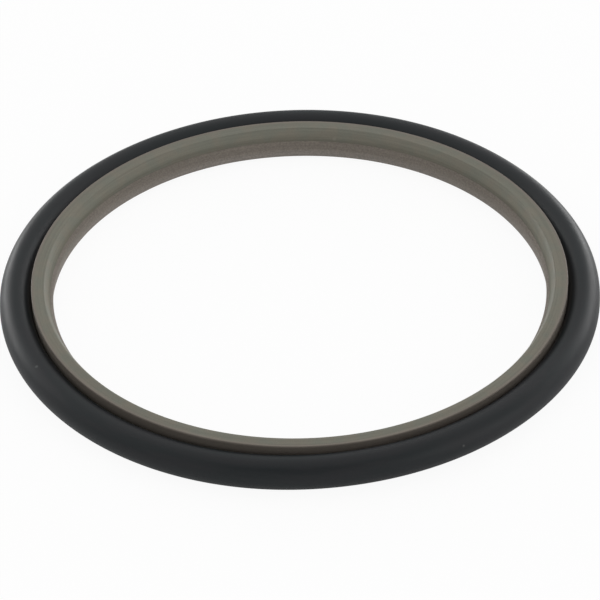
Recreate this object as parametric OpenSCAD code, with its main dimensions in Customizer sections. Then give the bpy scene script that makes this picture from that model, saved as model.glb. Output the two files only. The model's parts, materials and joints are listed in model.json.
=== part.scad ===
// Rod seal for a hydraulic cylinder: a turned slide ring with a stepped lip, and the rubber ring that loads it.
// The axis is Z. The back face lies on Z = 0, and the pressure face looks up.
// Depths are measured down from the pressure face, clearances outwards from the rod.

/* [Rod] */
// Diameter of the rod that the lip runs on
rod_d = 80; // [40:1:200]

/* [Slide ring] */
// Width of the ring, along the axis
ring_w = 6; // [5.8:0.1:6.2]
// Thickness of the ring, from the rod to its outer wall
ring_t = 3.47; // [3.2:0.01:3.8]
// Width of the edge breaks on the outer corners
edge_break = 0.12; // [0.05:0.01:0.2]

/* [Lip] */
// Clearance at the mouth, in the pressure face
mouth_gap = 1.36; // [1.1:0.02:1.6]
// Clearance at the foot of the rounded entry
foot_gap = 0.5; // [0.4:0.02:0.7]
// Depth of the foot of the rounded entry
foot_depth = 2.14; // [1.8:0.02:2.3]
// Depth of the lip's edge, where the step in from the entry ends
lip_depth = 2.48; // [2.32:0.02:2.8]
// Width of the land that seals on the rod
land_w = 0.35; // [0.2:0.05:0.4]
// Angle between the rod and the relief cone behind the land
relief_angle = 8.5; // [3:0.5:10]
// Depth of the relief cone's end
relief_depth = 5.09; // [4.8:0.01:5.1]
// Clearance at the back face
back_gap = 1.56; // [1.2:0.02:1.6]

/* [Rubber ring] */
// Diameter of the rubber ring's round section
cord_d = 5.33; // [5.2:0.01:5.5]
// How far the section is flattened where it sits on the slide ring
seat_flat = 0.11; // [0.02:0.01:0.2]

/* [Smoothness] */
// Number of flats round each ring
ring_flats = 240; // [96:12:360]
// Number of flats round the rubber ring's section
cord_flats = 72; // [24:4:120]
// Number of flats down the rounded entry
entry_flats = 10; // [4:1:16]

/* [Hidden] */
ptfe_colour = [0.45, 0.44, 0.40];
rubber_colour = [0.17, 0.17, 0.18];
rod_r = rod_d / 2;
wall_r = rod_r + ring_t;
land_top_z = ring_w - lip_depth;
land_end_z = land_top_z - land_w;
relief_end_z = ring_w - relief_depth;
relief_r = rod_r + (land_end_z - relief_end_z) * tan(relief_angle);
// The entry's arc ends upright at its foot, so its chord leans by half of the arc's angle
entry_angle = 2 * atan((mouth_gap - foot_gap) / foot_depth);
entry_r = foot_depth / sin(entry_angle);
cord_centre_r = wall_r + cord_d / 2 - seat_flat;
cord_centre_z = ring_w / 2;

// Outer wall with its broken corners, from the back face up to the pressure face
function wall_points() = [
    [wall_r - edge_break, 0],
    [wall_r, edge_break],
    [wall_r, ring_w - edge_break],
    [wall_r - edge_break, ring_w]
];

// Rounded entry, from the mouth in the pressure face down to its foot
function entry_points() = [
    for (flat = [0 : entry_flats])
        let (angle = entry_angle * (1 - flat / entry_flats))
            [rod_r + foot_gap + entry_r * (1 - cos(angle)), ring_w - foot_depth + entry_r * sin(angle)]
];

// Bore below the entry: the step in to the lip, the sealing land, the relief cone and the back chamfer
function lip_points() = [
    [rod_r, land_top_z],
    [rod_r, land_end_z],
    [relief_r, relief_end_z],
    [rod_r + back_gap, 0]
];

// Inner ring of bronze-filled PTFE, turned in one piece
module slide_ring() {
    color(ptfe_colour)
        rotate_extrude($fn = ring_flats)
            polygon(concat(wall_points(), entry_points(), lip_points()));
}

// Rubber ring, stretched over the middle of the slide ring's wall and pressed flat against it
module o_ring() {
    color(rubber_colour)
        rotate_extrude($fn = ring_flats)
            difference() {
                translate([cord_centre_r, cord_centre_z])
                    circle(d = cord_d, $fn = cord_flats);
                square([wall_r, ring_w]);
            }
}

slide_ring();
o_ring();
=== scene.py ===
"""Dresses the rod seal: a slide ring turned from filled PTFE, and the rubber ring stretched round it.

Lengths are in metres. The seal's axis is Z, the back face lies on Z = 0 and the pressure face looks up.
Directions round the axis run from +X, at the photograph's right, over +Y, at its far side.
"""

import json
import logging
import math
from abc import ABC, abstractmethod
from dataclasses import dataclass
from enum import Enum

import bpy
from bpy.types import Material, Node, NodeSocket, NodeTree, Object
from mathutils import Matrix, Vector

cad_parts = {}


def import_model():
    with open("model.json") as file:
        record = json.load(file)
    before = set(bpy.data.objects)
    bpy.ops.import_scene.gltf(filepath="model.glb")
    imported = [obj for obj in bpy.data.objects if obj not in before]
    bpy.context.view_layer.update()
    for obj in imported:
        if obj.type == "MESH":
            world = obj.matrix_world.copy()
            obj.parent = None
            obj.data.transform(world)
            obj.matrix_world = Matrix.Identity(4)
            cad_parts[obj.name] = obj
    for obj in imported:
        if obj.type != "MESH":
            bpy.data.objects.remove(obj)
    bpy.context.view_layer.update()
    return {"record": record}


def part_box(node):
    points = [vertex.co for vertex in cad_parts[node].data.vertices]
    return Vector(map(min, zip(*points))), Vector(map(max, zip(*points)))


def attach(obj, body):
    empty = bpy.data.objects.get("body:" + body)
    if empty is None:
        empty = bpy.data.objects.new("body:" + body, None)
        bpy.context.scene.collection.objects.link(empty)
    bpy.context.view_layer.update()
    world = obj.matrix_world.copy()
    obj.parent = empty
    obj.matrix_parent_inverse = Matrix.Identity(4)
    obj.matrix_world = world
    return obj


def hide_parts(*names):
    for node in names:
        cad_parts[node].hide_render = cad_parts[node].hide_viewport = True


log = logging.getLogger("rod_seal")

MM = 0.001
ROOT_BODY = "root"

# How much of the shorter side beside a corner its rounding may take up, and the support point beyond it
ROUNDING_SHARE = 0.3
SUPPORT_SHARE = 0.15

# How far from its middle a fleck shows in full, as a share of its reach
FLECK_CORE = 0.2

Colour = tuple[float, float, float]
Point = tuple[float, float]
Value = NodeSocket | float | tuple[float, ...]
Tone = NodeSocket | Colour


class Edge(Enum):
    """How a turned corner is left.

    The value is the radius of its rounding. CURVE is a point of a rounded stretch, which stays as it is.
    """

    CURVE = 0.0
    KEEN = 0.015 * MM
    BROKEN = 0.05 * MM
    SOFT = 0.1 * MM
    EASED = 0.35 * MM


class Lie(Enum):
    """How the marks of a noise lie on the seal: in rings round the axis, or alike in all directions."""

    RINGS = "rings"
    GRAIN = "grain"


@dataclass(frozen=True)
class Corner:
    """A corner of a turned section: its radius from the axis, its height and how it is rounded."""

    radius: float
    height: float
    edge: Edge = Edge.BROKEN


@dataclass(frozen=True)
class Fade:
    """A smooth change of a value along a height, a radius or a noise.

    Attributes:
        low: where it starts.
        high: where it ends.
        start: the value before it.
        end: the value after it.
    """

    low: float
    high: float
    start: float = 0.0
    end: float = 1.0


@dataclass(frozen=True)
class Marks:
    """Marks that a noise leaves on a surface.

    Attributes:
        lie: how they lie on the seal.
        across: the size of a mark over the section.
        around: the size of a mark along the ring, which only rings read.
        detail: the number of finer layers.
    """

    lie: Lie
    across: float
    around: float = 1.0
    detail: float = 2.0


@dataclass(frozen=True)
class Fleck:
    """A pale speck on a piece.

    Attributes:
        place: where it lies, in the seal's frame.
        reach: how far it reaches from its middle.
        tone: its colour.
    """

    place: tuple[float, float, float]
    reach: float
    tone: Colour


@dataclass(frozen=True)
class Swell:
    """One wave in the height at which the rubber ring sits.

    Attributes:
        count: how many crests there are round the ring.
        height: how far a crest stands above the mean.
        crest: the direction of the first crest, in degrees.
    """

    count: int
    height: float
    crest: float

    def at(self, direction: float) -> float:
        """The wave's height in a direction, which is in radians."""
        return self.height * math.cos(self.count * (direction - math.radians(self.crest)))


@dataclass(frozen=True)
class Place:
    """The sockets with where a point of the surface lies: its x, y and z, and its distance from the axis."""

    x: NodeSocket
    y: NodeSocket
    z: NodeSocket
    radius: NodeSocket


def rounded_section(corners: list[Corner], steps: int, support: float) -> list[Point]:
    """Rounds the corners of a closed section, apart from the points of its curves.

    Args:
        corners: the corners in order.
        steps: how many facets a rounding has.
        support: the distance from a rounding to the extra point that keeps the flat beside it flat.

    Returns:
        The points of the closed outline, as radius and height.
    """
    outline: list[Point] = []
    for index, corner in enumerate(corners):
        here = Vector((corner.radius, corner.height))
        if corner.edge is Edge.CURVE:
            outline.append(tuple(here))
            continue
        last, following = corners[index - 1], corners[(index + 1) % len(corners)]
        back = Vector((last.radius, last.height)) - here
        ahead = Vector((following.radius, following.height)) - here
        room = min(back.length, ahead.length)
        back.normalize()
        ahead.normalize()
        half = back.angle(ahead) / 2
        reach = min(corner.edge.value / math.tan(half), ROUNDING_SHARE * room)
        radius = reach * math.tan(half)
        centre = here + (back + ahead).normalized() * (radius / math.sin(half))
        start, end = here + back * reach, here + ahead * reach
        side = min(support, SUPPORT_SHARE * room)
        outline.append(tuple(start + back * side))
        for step in range(steps + 1):
            spoke = (start - centre).lerp(end - centre, step / steps)
            outline.append(tuple(centre + spoke.normalized() * radius))
        outline.append(tuple(end + ahead * side))
    return outline


def with_longest_step(outline: list[Point], longest: float) -> list[Point]:
    """Splits the long stretches of a closed outline.

    Args:
        outline: the outline's points in order.
        longest: the longest stretch that stays whole.

    Returns:
        The outline with points added on its long stretches.
    """
    filled: list[Point] = []
    for index, point in enumerate(outline):
        start, end = Vector(point), Vector(outline[(index + 1) % len(outline)])
        parts = max(1, math.ceil((end - start).length / longest))
        filled.extend(tuple(start.lerp(end, part / parts)) for part in range(parts))
    return filled


class NodeSheet:
    """A node tree with short calls for the nodes that the finishes and the studio share."""

    def __init__(self, tree: NodeTree) -> None:
        """Empties the tree and keeps it."""
        tree.nodes.clear()
        self.tree = tree

    def node(self, kind: str, **settings: str) -> Node:
        """Adds a node.

        Args:
            kind: the node's type, without its ShaderNode prefix.
            settings: the node's own settings by name.

        Returns:
            The new node.
        """
        made = self.tree.nodes.new("ShaderNode" + kind)
        for name, value in settings.items():
            setattr(made, name, value)
        return made

    def feed(self, socket: NodeSocket, value: Value) -> None:
        """Links a socket to another one, or sets it to a plain value.

        Args:
            socket: the input that is fed.
            value: an output socket, a number, or a tuple of numbers.
        """
        if isinstance(value, NodeSocket):
            self.tree.links.new(value, socket)
        else:
            socket.default_value = value

    def math(self, operation: str, *values: Value) -> NodeSocket:
        """Does a sum with a Math node.

        Args:
            operation: the name of the operation.
            values: its inputs, each a socket or a number.

        Returns:
            The socket with the result.
        """
        made = self.node("Math", operation=operation)
        for socket, value in zip(made.inputs, values):
            self.feed(socket, value)
        return made.outputs[0]

    def remap(self, value: Value, low: float, high: float, start: Value, end: Value) -> NodeSocket:
        """Brings a value from one range smoothly into another.

        Args:
            value: the socket to read.
            low: the value that becomes start.
            high: the value that becomes end.
            start: the first result.
            end: the last result.

        Returns:
            The socket with the result.
        """
        made = self.node("MapRange", interpolation_type="SMOOTHSTEP")
        for socket, entry in zip(made.inputs, (value, low, high, start, end)):
            self.feed(socket, entry)
        return made.outputs[0]

    def faded(self, value: NodeSocket, fade: Fade) -> NodeSocket:
        """The socket with what a fade gives for a height, a radius or a noise."""
        return self.remap(value, fade.low, fade.high, fade.start, fade.end)

    def factor_where(self, share: NodeSocket, factor: NodeSocket) -> NodeSocket:
        """The socket with a factor that holds in full where the share is 1, and is 1 where the share is 0."""
        return self.remap(share, 0.0, 1.0, 1.0, factor)

    def mixed(self, share: Value, first: Value, second: Value) -> NodeSocket:
        """Mixes two numbers.

        Args:
            share: the share of the second one, from 0 to 1.
            first: a socket or a number.
            second: a socket or a number.

        Returns:
            The socket with the mixed number.
        """
        made = self.node("Mix", data_type="FLOAT")
        for socket, entry in zip(made.inputs[0:1] + made.inputs[2:4], (share, first, second)):
            self.feed(socket, entry)
        return made.outputs[0]

    def mixed_colour(self, share: Value, first: Tone, second: Tone) -> NodeSocket:
        """Mixes two colours.

        Args:
            share: the share of the second colour, from 0 to 1.
            first: a colour or a socket.
            second: a colour or a socket.

        Returns:
            The socket with the mixed colour.
        """
        made = self.node("Mix", data_type="RGBA", blend_type="MIX")
        self.feed(made.inputs[0], share)
        for socket, value in zip(made.inputs[6:8], (first, second)):
            self.feed(socket, value if isinstance(value, NodeSocket) else (*value, 1.0))
        return made.outputs[2]

    def scaled_colour(self, colour: NodeSocket, *factors: Value) -> NodeSocket:
        """Lightens or darkens a colour.

        Args:
            colour: the socket with the colour.
            factors: what it is multiplied by, each a socket or a number.

        Returns:
            The socket with the new colour.
        """
        for factor in factors:
            made = self.node("VectorMath", operation="SCALE")
            self.feed(made.inputs[0], colour)
            self.feed(made.inputs["Scale"], factor)
            colour = made.outputs[0]
        return colour

    def place(self) -> Place:
        """Reads where a point of the surface lies.

        Returns:
            The sockets with its place.
        """
        parts = self.node("SeparateXYZ")
        self.feed(parts.inputs[0], self.node("TexCoord").outputs["Object"])
        x, y, z = parts.outputs
        squares = [self.math("MULTIPLY", side, side) for side in (x, y)]
        return Place(x, y, z, self.math("SQRT", self.math("ADD", *squares)))

    def noise(self, marks: Marks) -> NodeSocket:
        """Makes the noise of some marks.

        Args:
            marks: the marks.

        Returns:
            The socket with the noise, from 0 to 1.
        """
        here = self.place()
        made = self.node("TexNoise", noise_dimensions="4D")
        made.inputs["Detail"].default_value = marks.detail
        made.inputs["Scale"].default_value = 1.0
        if marks.lie is Lie.RINGS:
            spans = ((here.radius, marks.across), (here.z, marks.across), (here.x, marks.around))
            self.feed(made.inputs["W"], self.math("DIVIDE", here.y, marks.around))
        else:
            spans = tuple((side, marks.across) for side in (here.x, here.y, here.z))
        joined = self.node("CombineXYZ")
        for socket, (value, span) in zip(joined.inputs, spans):
            self.feed(socket, self.math("DIVIDE", value, span))
        self.feed(made.inputs["Vector"], joined.outputs[0])
        return made.outputs[0]

    def flecked(self, base: NodeSocket, flecks: tuple[Fleck, ...]) -> NodeSocket:
        """Puts pale specks on a colour.

        Args:
            base: the socket with the colour.
            flecks: the specks.

        Returns:
            The socket with the new colour.
        """
        where = self.node("TexCoord").outputs["Object"]
        for fleck in flecks:
            apart = self.node("VectorMath", operation="DISTANCE")
            self.feed(apart.inputs[0], where)
            self.feed(apart.inputs[1], fleck.place)
            share = self.remap(apart.outputs["Value"], fleck.reach, FLECK_CORE * fleck.reach, 0.0, 1.0)
            base = self.mixed_colour(share, base, fleck.tone)
        return base

    def bump(self, height: NodeSocket, depth: float, under: NodeSocket | None = None) -> NodeSocket:
        """Makes a normal with fine relief.

        Args:
            height: the relief, from 0 to 1.
            depth: how deep the relief is.
            under: the normal of a coarser relief below this one.

        Returns:
            The socket with the normal.
        """
        made = self.node("Bump")
        made.inputs["Strength"].default_value = 1.0
        made.inputs["Distance"].default_value = depth
        self.feed(made.inputs["Height"], height)
        if under is not None:
            self.feed(made.inputs["Normal"], under)
        return made.outputs[0]

    def seen_share(self) -> NodeSocket:
        """The socket that is 1 for what the camera sees, and 0 for all other light."""
        rays = self.node("LightPath")
        return self.math("MAXIMUM", rays.outputs["Is Camera Ray"], rays.outputs["Is Transmission Ray"])


class Finish(ABC):
    """What a piece is made of, and how its surface was left."""

    @abstractmethod
    def material(self) -> Material:
        """The finish as a new material."""


@dataclass(frozen=True)
class TurnedPtfe(Finish):
    """PTFE filled with bronze, as it comes off the lathe: satin, with fine rings and a slight mottle.

    Its fades run over heights and radii in the seal's frame, where the foot of the entry is 3.86 mm high, or
    over the noise of its marks.

    Attributes:
        olive: the greener of its two tones on the face and the entry.
        warm: the redder of these two tones.
        brown: its tone on the lip and on the outer wall.
        pale: its greyer tone at the back end of the bore.
        mottle: the patches of the two tones.
        rings: the broad rings that the tool leaves.
        cuts: the single cuts of the tool.
        grain: the fine grain all over it.
        bore_marks: the coarser grain of the bore.
        patches: the share of the warm tone, by the mottle.
        lip: the share of the bore's tone, by the height. It starts at the foot of the entry.
        chamfer: the share of the bore's tone and of the relief's painted light, by the radius. It ends on the
            back chamfer.
        paling: how brown turns to pale, by the height.
        wall: the share of the wall's brown, by the radius. It reaches a little onto the face.
        streaks: how the rings lighten and darken it.
        specks: how the grain does.
        pits: how the coarser grain does.
        entry_painted_shade: painted shade by the height, for the corner at the entry's foot: darker from the
            entry's top down to its foot, and all below it.
        face_painted_shade: painted shade on the face, by the radius. It darkens towards the outer edge beside
            the rubber.
        wall_painted_shade: painted shade on the outer wall beside the rubber, by the radius.
        relief_painted_light: painted light on the relief, by the height. It lightens towards the back face,
            as if lit from the white table below.
        upper_rough: the roughness above the lip, by the height. It is roughest at the foot of the entry,
            where the tool turns upright.
        bore_rough: the roughness from the lip down.
        lip_ends: the heights between which the one roughness turns to the other.
        uneven_rough: what the rings add to the roughness.
        specular: its specular level.
        bump_depth: how deep the cuts and the grain are.
        flecks: the pale specks on it.
    """

    olive: Colour = (0.175, 0.176, 0.144)
    warm: Colour = (0.191, 0.179, 0.144)
    brown: Colour = (0.214, 0.188, 0.16)
    pale: Colour = (0.214, 0.194, 0.174)
    mottle: Marks = Marks(Lie.GRAIN, 2.6 * MM, detail=3.0)
    rings: Marks = Marks(Lie.RINGS, 0.28 * MM, 14 * MM, detail=3.0)
    cuts: Marks = Marks(Lie.RINGS, 0.09 * MM, 9 * MM, detail=1.0)
    grain: Marks = Marks(Lie.GRAIN, 0.11 * MM)
    bore_marks: Marks = Marks(Lie.GRAIN, 0.3 * MM)
    patches: Fade = Fade(0.36, 0.64)
    lip: Fade = Fade(3.91 * MM, 3.81 * MM)
    chamfer: Fade = Fade(40.7 * MM, 41.5 * MM, 1.0, 0.0)
    paling: Fade = Fade(3.16 * MM, 1.2 * MM)
    wall: Fade = Fade(42.65 * MM, 43.4 * MM)
    streaks: Fade = Fade(0.3, 0.7, 0.93, 1.07)
    specks: Fade = Fade(0.3, 0.75, 0.93, 1.09)
    pits: Fade = Fade(0.3, 0.7, 0.86, 1.14)
    entry_painted_shade: Fade = Fade(4.16 * MM, 5.16 * MM, 0.86, 1.02)
    face_painted_shade: Fade = Fade(41.4 * MM, 43.4 * MM, 1.0, 0.92)
    wall_painted_shade: Fade = Fade(43.26 * MM, 43.43 * MM, 1.0, 0.63)
    relief_painted_light: Fade = Fade(0.5 * MM, 3.56 * MM, 1.48, 1.0)
    upper_rough: Fade = Fade(4.66 * MM, 5.66 * MM, 0.8, 0.4)
    bore_rough: float = 0.5
    lip_ends: tuple[float, float] = (3.76 * MM, 3.96 * MM)
    uneven_rough: Fade = Fade(0.3, 0.7, -0.05, 0.05)
    specular: float = 0.12
    bump_depth: float = 0.004 * MM
    flecks: tuple[Fleck, ...] = (Fleck((6.52 * MM, 40.02 * MM, 4.4 * MM), 0.45 * MM, (0.225, 0.212, 0.175)),)

    def material(self) -> Material:
        """Makes the finish.

        Returns:
            A new material.
        """
        made = bpy.data.materials.new("filled_ptfe")
        made.use_nodes = True
        sheet = NodeSheet(made.node_tree)
        here, rings, grain = sheet.place(), sheet.noise(self.rings), sheet.noise(self.grain)
        surface = sheet.node("BsdfPrincipled")
        sheet.feed(surface.inputs["Base Color"], self.colour(sheet, here, rings, grain))
        sheet.feed(surface.inputs["Roughness"], self.roughness(sheet, here, rings))
        surface.inputs["Specular IOR Level"].default_value = self.specular
        cuts = sheet.bump(sheet.noise(self.cuts), self.bump_depth)
        sheet.feed(surface.inputs["Normal"], sheet.bump(grain, self.bump_depth, cuts))
        sheet.feed(sheet.node("OutputMaterial").inputs["Surface"], surface.outputs[0])
        return made

    def colour(self, sheet: NodeSheet, here: Place, rings: NodeSocket, grain: NodeSocket) -> NodeSocket:
        """Mixes its tones by where they lie, and paints shade and light on them.

        Args:
            sheet: the tree that the nodes go into.
            here: the sockets with the surface's place.
            rings: the noise of the rings.
            grain: the noise of the grain.

        Returns:
            The socket with its colour.
        """
        inside = sheet.faded(here.radius, self.chamfer)
        bore = sheet.math("MULTIPLY", sheet.faded(here.z, self.lip), inside)
        outside = sheet.faded(here.radius, self.wall)
        base = sheet.mixed_colour(sheet.faded(sheet.noise(self.mottle), self.patches), self.olive, self.warm)
        brown = sheet.mixed_colour(sheet.faded(here.z, self.paling), self.brown, self.pale)
        base = sheet.mixed_colour(sheet.math("MAXIMUM", bore, outside), base, brown)
        return sheet.scaled_colour(
            sheet.flecked(base, self.flecks),
            sheet.faded(rings, self.streaks),
            sheet.faded(grain, self.specks),
            sheet.factor_where(bore, sheet.faded(sheet.noise(self.bore_marks), self.pits)),
            # painted shade in the corner at the foot of the entry
            sheet.faded(here.z, self.entry_painted_shade),
            # painted shade on the face towards the rubber
            sheet.faded(here.radius, self.face_painted_shade),
            # painted shade on the outer wall beside the rubber
            sheet.faded(here.radius, self.wall_painted_shade),
            # painted light on the relief, as if from the white table below
            sheet.factor_where(inside, sheet.faded(here.z, self.relief_painted_light)),
        )

    def roughness(self, sheet: NodeSheet, here: Place, rings: NodeSocket) -> NodeSocket:
        """Sets how rough it is by where it lies.

        Args:
            sheet: the tree that the nodes go into.
            here: the sockets with the surface's place.
            rings: the noise of the rings.

        Returns:
            The socket with its roughness.
        """
        upper = sheet.faded(here.z, self.upper_rough)
        rough = sheet.remap(here.z, *self.lip_ends, self.bore_rough, upper)
        return sheet.math("ADD", rough, sheet.faded(rings, self.uneven_rough))


@dataclass(frozen=True)
class MouldedRubber(Finish):
    """Black nitrile rubber from a mould: matt, with a paler film on parts of it and a paler gap beside the
    slide ring.

    Attributes:
        black: its own colour.
        bloom: the slightly paler film on parts of it.
        gap_pale: the paler colour in the gap between the two rings.
        film: the streaks of that film.
        grain: the fine grain all over it.
        filmed: the share of the film, by its streaks.
        gap_paling: the share of that paler colour, by the radius.
        rough: the roughness of its surface, by the film's streaks.
        specular: its specular level.
        bump_depth: how deep the grain is.
        flecks: the pale specks on it.
    """

    black: Colour = (0.0022, 0.0056, 0.0072)
    bloom: Colour = (0.0074, 0.0086, 0.0106)
    gap_pale: Colour = (0.05, 0.048, 0.046)
    film: Marks = Marks(Lie.RINGS, 1.6 * MM, 11 * MM, detail=3.0)
    grain: Marks = Marks(Lie.GRAIN, 0.14 * MM)
    filmed: Fade = Fade(0.35, 0.65)
    gap_paling: Fade = Fade(44.3 * MM, 43.7 * MM)
    rough: Fade = Fade(0.3, 0.7, 0.41, 0.51)
    specular: float = 0.36
    bump_depth: float = 0.005 * MM
    flecks: tuple[Fleck, ...] = (
        Fleck((-41.82 * MM, -21.31 * MM, 5.38 * MM), 0.4 * MM, (0.062, 0.065, 0.064)),
        Fleck((24.65 * MM, -41.84 * MM, 4.06 * MM), 0.3 * MM, (0.05, 0.053, 0.052)),
    )

    def material(self) -> Material:
        """Makes the finish.

        Returns:
            A new material.
        """
        made = bpy.data.materials.new("black_rubber")
        made.use_nodes = True
        sheet = NodeSheet(made.node_tree)
        film, here = sheet.noise(self.film), sheet.place()
        base = sheet.mixed_colour(sheet.faded(film, self.filmed), self.black, self.bloom)
        # a paler colour in the gap between the two rings
        base = sheet.mixed_colour(sheet.faded(here.radius, self.gap_paling), base, self.gap_pale)
        surface = sheet.node("BsdfPrincipled")
        sheet.feed(surface.inputs["Base Color"], sheet.flecked(base, self.flecks))
        sheet.feed(surface.inputs["Roughness"], sheet.faded(film, self.rough))
        surface.inputs["Specular IOR Level"].default_value = self.specular
        sheet.feed(surface.inputs["Normal"], sheet.bump(sheet.noise(self.grain), self.bump_depth))
        sheet.feed(sheet.node("OutputMaterial").inputs["Surface"], surface.outputs[0])
        return made


@dataclass(kw_only=True)
class RoundPart(ABC):
    """A part that is one closed section, turned round the axis.

    Attributes:
        finish: what it is made of.
        flats: the number of flats round the axis.
    """

    finish: Finish
    flats: int = 480

    @abstractmethod
    def outline(self) -> list[Point]:
        """The closed section's points in order, as radius and height."""

    def lift_at(self, direction: float) -> float:
        """How far the section is lifted in a direction, in radians. A turned part lies flat."""
        return 0.0

    def mesh(self, name: str) -> bpy.types.Mesh:
        """Turns the section round the axis.

        Args:
            name: the mesh's name.

        Returns:
            A smooth, closed mesh.
        """
        outline = self.outline()
        points: list[tuple[float, float, float]] = []
        for turn in range(self.flats):
            direction = math.tau * turn / self.flats
            lift, cosine, sine = self.lift_at(direction), math.cos(direction), math.sin(direction)
            points.extend((radius * cosine, radius * sine, height + lift) for radius, height in outline)
        count = len(outline)
        faces: list[tuple[int, int, int, int]] = []
        for turn in range(self.flats):
            here, beyond = turn * count, (turn + 1) % self.flats * count
            for step in range(count):
                further = (step + 1) % count
                faces.append((here + step, beyond + step, beyond + further, here + further))
        made = bpy.data.meshes.new(name)
        made.from_pydata(points, [], faces)
        made.validate()
        made.shade_smooth()
        return made

    def build(self, name: str, node: str, slot: str) -> Object:
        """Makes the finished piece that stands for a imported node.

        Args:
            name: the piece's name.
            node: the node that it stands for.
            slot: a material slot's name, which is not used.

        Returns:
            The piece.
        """
        piece = bpy.data.objects.new(name, self.mesh(name))
        bpy.context.scene.collection.objects.link(piece)
        piece.data.materials.append(self.finish.material())
        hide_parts(node)
        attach(piece, ROOT_BODY)
        return piece


@dataclass(kw_only=True)
class SlideRing(RoundPart):
    """The turned inner ring, with the stepped lip in its bore.

    Its gaps are measured outwards from the rod, and its depths down from the pressure face.

    Attributes:
        bore_radius: the lip's radius, which is the rod's.
        wall_radius: the radius of the outer wall.
        width: the ring's width along the axis.
        edge_break: the width of the edge breaks on the outer corners.
        mouth_gap: the gap at the entry's mouth.
        foot_gap: the gap at the entry's foot.
        foot_depth: the depth of that foot.
        entry_steps: the number of facets down the entry.
        lip_depth: the depth of the lip's edge.
        land_width: the width of the land that seals on the rod.
        relief_angle: the angle between the rod and the relief behind the land, in degrees.
        relief_depth: the depth of the relief's end.
        back_gap: the gap at the back face.
        rounding_steps: the number of facets of a rounded corner.
        support: how far beside a rounding the point lies that keeps the flat there flat.
        longest_step: the longest stretch of the section in one facet.
    """

    bore_radius: float
    wall_radius: float
    width: float
    edge_break: float = 0.12 * MM
    mouth_gap: float = 1.36 * MM
    foot_gap: float = 0.5 * MM
    foot_depth: float = 2.14 * MM
    entry_steps: int = 10
    lip_depth: float = 2.48 * MM
    land_width: float = 0.35 * MM
    relief_angle: float = 8.5
    relief_depth: float = 5.09 * MM
    back_gap: float = 1.56 * MM
    rounding_steps: int = 4
    support: float = 0.03 * MM
    longest_step: float = 0.35 * MM

    def entry(self) -> list[Corner]:
        """Bends the rounded entry, whose arc ends upright at its foot.

        Returns:
            Its points, from the mouth in the pressure face down to the foot. The arc's second point is left
            out, because the rounding of the mouth takes its place.
        """
        turn = 2 * math.atan((self.mouth_gap - self.foot_gap) / self.foot_depth)
        radius = self.foot_depth / math.sin(turn)
        foot = self.width - self.foot_depth
        centre = self.bore_radius + self.foot_gap + radius
        ends = {0: Edge.EASED, self.entry_steps: Edge.KEEN}
        points = []
        for step in (0, *range(2, self.entry_steps + 1)):
            angle = turn * (1 - step / self.entry_steps)
            edge = ends.get(step, Edge.CURVE)
            points.append(Corner(centre - radius * math.cos(angle), foot + radius * math.sin(angle), edge))
        return points

    def corners(self) -> list[Corner]:
        """Lists the section's corners.

        Returns:
            The corners, up the outer wall, over the pressure face and down the bore.
        """
        bore, wall, top = self.bore_radius, self.wall_radius, self.width
        land_top = top - self.lip_depth
        land_end, relief_end = land_top - self.land_width, top - self.relief_depth
        relief_gap = (land_end - relief_end) * math.tan(math.radians(self.relief_angle))
        return [
            Corner(wall - self.edge_break, 0.0),
            Corner(wall, self.edge_break),
            Corner(wall, top - self.edge_break, Edge.SOFT),
            Corner(wall - self.edge_break, top, Edge.SOFT),
            *self.entry(),
            Corner(bore, land_top, Edge.KEEN),
            Corner(bore, land_end, Edge.EASED),
            Corner(bore + relief_gap, relief_end),
            Corner(bore + self.back_gap, 0.0),
        ]

    def outline(self) -> list[Point]:
        """The section's points in order, with its corners rounded."""
        rounded = rounded_section(self.corners(), self.rounding_steps, self.support)
        return with_longest_step(rounded, self.longest_step)


@dataclass(kw_only=True)
class RubberRing(RoundPart):
    """The rubber ring of round section, stretched over the slide ring's wall.

    Attributes:
        seat_radius: the radius of the wall that it sits on.
        outer_radius: its largest radius.
        centre_height: the mean height of its section's centre.
        cord_radius: the radius of its section.
        table_gap: how near its lowest point comes to the table.
        section_steps: the number of facets round its section.
        longest_step: the longest stretch of the section in one facet.
        swells: the waves in its height, as it was rolled onto the slide ring.
    """

    seat_radius: float
    outer_radius: float
    centre_height: float
    cord_radius: float = 2.665 * MM
    table_gap: float = 0.01 * MM
    section_steps: int = 108
    longest_step: float = 0.3 * MM
    swells: tuple[Swell, ...] = (
        Swell(1, 0.09 * MM, 124.0),
        Swell(2, 0.25 * MM, 107.0),
        Swell(3, 0.18 * MM, 67.0),
    )

    def lift_at(self, direction: float) -> float:
        """How far the ring sits above its mean height.

        Args:
            direction: the direction round the axis, in radians.

        Returns:
            The height of all waves together, kept clear of the table and of the pressure face.
        """
        room = self.centre_height - self.cord_radius - self.table_gap
        wave = sum(swell.at(direction) for swell in self.swells)
        return room * math.tanh(wave / room)

    def outline(self) -> list[Point]:
        """Draws the section: a circle that is pressed flat where it meets the slide ring's wall.

        Returns:
            The section's points in order, from the lower end of the flat round the outside to its upper end.
        """
        centre = self.outer_radius - self.cord_radius
        seat = math.acos((self.seat_radius - centre) / self.cord_radius)
        turns = (2 * seat * step / self.section_steps - seat for step in range(self.section_steps + 1))
        spokes = ((self.cord_radius * math.cos(turn), self.cord_radius * math.sin(turn)) for turn in turns)
        points = [(centre + across, self.centre_height + up) for across, up in spokes]
        return with_longest_step(points, self.longest_step)


def way_to(azimuth: float, elevation: float) -> Vector:
    """Finds the way to a place in the studio.

    Args:
        azimuth: the direction round the axis, in degrees.
        elevation: the height above the table, in degrees.

    Returns:
        The unit vector from the seal towards that place.
    """
    turn, rise = math.radians(azimuth), math.radians(elevation)
    return Vector((math.cos(turn) * math.cos(rise), math.sin(turn) * math.cos(rise), math.sin(rise)))


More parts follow.
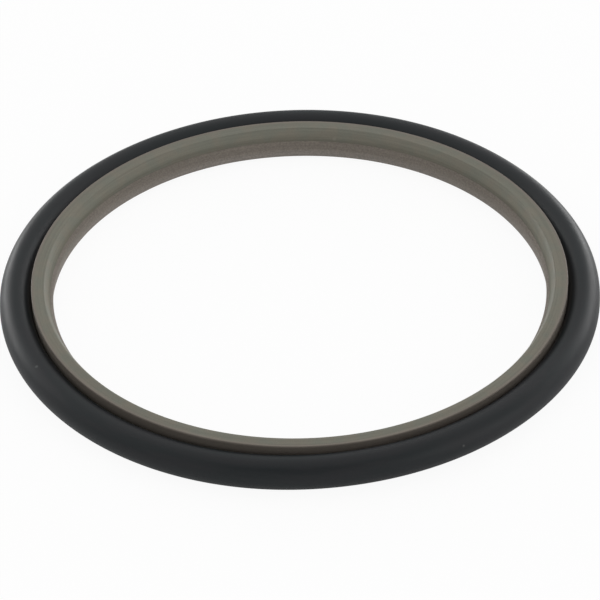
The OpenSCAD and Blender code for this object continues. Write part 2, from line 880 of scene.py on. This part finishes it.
@dataclass(frozen=True)
class Panel:
    """A brighter part of the tent, where a lamp stands behind its cloth, or a dimmer one without a lamp.

    Attributes:
        azimuth: its direction round the axis, in degrees.
        elevation: its height above the table, in degrees.
        reach: how far it reaches from its middle, in degrees.
        brightness: how much brighter than the cloth beside it it is, where 1 is white. Dimmer is negative.
    """

    azimuth: float
    elevation: float
    reach: float
    brightness: float


@dataclass(kw_only=True)
class Studio:
    """The white table and the pale tent over it, which has a dim opening for the camera.

    Attributes:
        cloth: the brightness of the tent's cloth, by the sine of the height above the table.
        horizon: its brightness beside the table's edge.
        horizon_top: the height above the table where the horizon has faded, in degrees.
        opening: the brightness in its opening.
        opening_azimuth: the opening's direction round the axis, in degrees.
        opening_elevation: the opening's height above the table, in degrees.
        opening_inner: how far from its middle the opening starts to brighten, in degrees.
        opening_outer: how far from its middle the tent's cloth starts, in degrees.
        panels: its brighter parts, and a dimmer one.
        panel_edge: the width of a panel's soft edge, in degrees.
        glow: the share of the table's white that doesn't depend on the light.
        mirrored_glow: the same share where the table is seen in a reflection.
        table_size: the length of the table's side.
        table_white: the table's own colour.
    """

    cloth: Fade = Fade(0.3, 0.95, 1.0, 1.05)
    horizon: float = 0.5
    horizon_top: float = 15.0
    opening: float = 0.3
    opening_azimuth: float = 270.0
    opening_elevation: float = 50.0
    opening_inner: float = 8.0
    opening_outer: float = 30.0
    panels: tuple[Panel, ...] = (
        Panel(54.0, 1.0, 15.0, 6.5),
        Panel(131.0, 2.0, 15.0, 6.7),
        Panel(337.0, 14.0, 24.0, 0.95),
        Panel(92.0, 6.0, 14.0, -0.4),
    )
    panel_edge: float = 16.0
    glow: float = 0.93
    mirrored_glow: float = 0.22
    table_size: float = 6.0
    table_white: float = 0.95

    def build_table(self) -> Object:
        """Lays the table, which shows white and keeps the seal's shadow.

        Returns:
            The table's object.
        """
        half = self.table_size / 2
        corners = [(-half, -half, 0.0), (half, -half, 0.0), (half, half, 0.0), (-half, half, 0.0)]
        mesh = bpy.data.meshes.new("table")
        mesh.from_pydata(corners, [], [(0, 1, 2, 3)])
        table = bpy.data.objects.new("table", mesh)
        bpy.context.scene.collection.objects.link(table)
        mesh.materials.append(self.paper())
        return table

    def paper(self) -> Material:
        """Makes the table's matt white, part of which glows towards the camera and in reflections.

        Returns:
            A new material.
        """
        made = bpy.data.materials.new("white_table")
        made.use_nodes = True
        sheet = NodeSheet(made.node_tree)
        matt = sheet.node("BsdfDiffuse")
        matt.inputs["Color"].default_value = (self.table_white, self.table_white, self.table_white, 1.0)
        direct = sheet.math("MULTIPLY", sheet.seen_share(), self.glow)
        in_gloss = sheet.node("LightPath").outputs["Is Glossy Ray"]
        mirrored = sheet.math("MULTIPLY", in_gloss, self.mirrored_glow)
        mix = sheet.node("MixShader")
        sheet.feed(mix.inputs[0], sheet.math("MAXIMUM", direct, mirrored))
        sheet.feed(mix.inputs[1], matt.outputs[0])
        sheet.feed(mix.inputs[2], sheet.node("Emission").outputs[0])
        sheet.feed(sheet.node("OutputMaterial").inputs["Surface"], mix.outputs[0])
        return made

    def build_tent(self) -> None:
        """Sets the world: the tent's brightness by direction, and plain white for the camera."""
        world = bpy.data.worlds.new("tent")
        bpy.context.scene.world = world
        world.use_nodes = True
        sheet = NodeSheet(world.node_tree)
        way = sheet.node("TexCoord").outputs["Generated"]
        parts = sheet.node("SeparateXYZ")
        sheet.feed(parts.inputs[0], way)
        rise = parts.outputs[2]
        above = sheet.remap(rise, 0.0, math.sin(math.radians(self.horizon_top)), 0.0, 1.0)
        cloth = sheet.mixed(above, self.horizon, sheet.faded(rise, self.cloth))
        opening = way_to(self.opening_azimuth, self.opening_elevation)
        gap = self.patch(sheet, way, opening, self.opening_outer, self.opening_inner, 1.0)
        level = sheet.mixed(gap, cloth, self.opening)
        half_edge = self.panel_edge / 2
        for panel in self.panels:
            middle = way_to(panel.azimuth, panel.elevation)
            outer, inner = panel.reach + half_edge, panel.reach - half_edge
            light = self.patch(sheet, way, middle, outer, inner, panel.brightness)
            level = sheet.math("ADD", level, light)
        background = sheet.node("Background")
        sheet.feed(background.inputs["Strength"], sheet.mixed(sheet.seen_share(), level, 1.0))
        sheet.feed(sheet.node("OutputWorld").inputs["Surface"], background.outputs[0])

    @staticmethod
    def patch(
        sheet: NodeSheet, way: NodeSocket, middle: Vector, outer: float, inner: float, level: float
    ) -> NodeSocket:
        """Makes a round patch of the tent with a soft edge.

        Args:
            sheet: the tree that the nodes go into.
            way: the socket with the direction.
            middle: the unit vector towards the patch's middle.
            outer: how far from its middle the patch ends, in degrees.
            inner: how far from its middle it has its full level, in degrees.
            level: that level.

        Returns:
            The socket with the patch's level in that direction, which is 0 outside it.
        """
        towards = sheet.node("VectorMath", operation="DOT_PRODUCT")
        sheet.feed(towards.inputs[0], way)
        sheet.feed(towards.inputs[1], tuple(middle))
        edge, core = math.cos(math.radians(outer)), math.cos(math.radians(inner))
        return sheet.remap(towards.outputs["Value"], edge, core, 0.0, level)


@dataclass(kw_only=True)
class Viewpoint:
    """The camera, where the photographer stood.

    Attributes:
        elevation: how steeply it looks down, in degrees.
        distance: how far it stands from its target on the seal's axis.
        target_height: the target's height.
        lens: its focal length in millimetres.
        sensor: the width of its sensor in millimetres.
        roll: how far it is turned about its own axis, in degrees, clockwise being positive.
        aside: how far it is moved to its right, and up, past the line to the target.
        reach: the nearest and the farthest distance that it sees.
    """

    elevation: float = 37.637
    distance: float = 646.85 * MM
    target_height: float = 0.97 * MM
    lens: float = 238.5
    sensor: float = 36.0
    roll: float = 1.405
    aside: tuple[float, float] = (0.006 * MM, -0.04 * MM)
    reach: tuple[float, float] = (0.01, 20.0)

    def build(self) -> Object:
        """Makes the camera and gives it to the scene.

        Returns:
            The camera's object.
        """
        rise, turn = math.radians(self.elevation), math.radians(self.roll)
        back = Vector((0.0, -math.cos(rise), math.sin(rise)))
        level, upward = Vector((1.0, 0.0, 0.0)), Vector((0.0, math.sin(rise), math.cos(rise)))
        right = level * math.cos(turn) - upward * math.sin(turn)
        up = level * math.sin(turn) + upward * math.cos(turn)
        lens = bpy.data.cameras.new("viewpoint")
        lens.sensor_width, lens.lens = self.sensor, self.lens
        lens.clip_start, lens.clip_end = self.reach
        camera = bpy.data.objects.new("viewpoint", lens)
        target = Vector((0.0, 0.0, self.target_height))
        place = target + back * self.distance + right * self.aside[0] + up * self.aside[1]
        camera.matrix_world = Matrix.Translation(place) @ Matrix((right, up, back)).transposed().to_4x4()
        bpy.context.scene.collection.objects.link(camera)
        bpy.context.scene.camera = camera
        return camera


def main() -> None:
    """Builds the seal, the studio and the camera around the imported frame."""
    logging.basicConfig(level=logging.INFO, format="%(name)s: %(message)s")
    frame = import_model()
    bpy.context.scene.view_settings.view_transform = "Standard"
    bore = next(mount for mount in frame["record"]["mounts"] if mount["name"] == "rod_bore")
    ring_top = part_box("slide_ring")[1]
    rubber_low, rubber_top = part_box("o_ring")
    slide_ring = SlideRing(
        bore_radius=bore["dims"]["r_mm"] * MM,
        wall_radius=ring_top.y,
        width=ring_top.z,
        finish=TurnedPtfe(),
    )
    rubber_ring = RubberRing(
        seat_radius=ring_top.y,
        outer_radius=rubber_top.y,
        centre_height=(rubber_low.z + rubber_top.z) / 2,
        finish=MouldedRubber(),
    )
    pieces = (
        slide_ring.build("slide_ring_turned", "slide_ring", "filled_ptfe"),
        rubber_ring.build("o_ring_moulded", "o_ring", "black_rubber"),
    )
    for piece in pieces:
        log.info("%s: %d faces", piece.name, len(piece.data.polygons))
    studio = Studio()
    log.info("%s laid", studio.build_table().name)
    studio.build_tent()
    camera = Viewpoint().build()
    log.info("%s with a %.0f mm lens", camera.name, camera.data.lens)


if __name__ == "__main__":
    main()
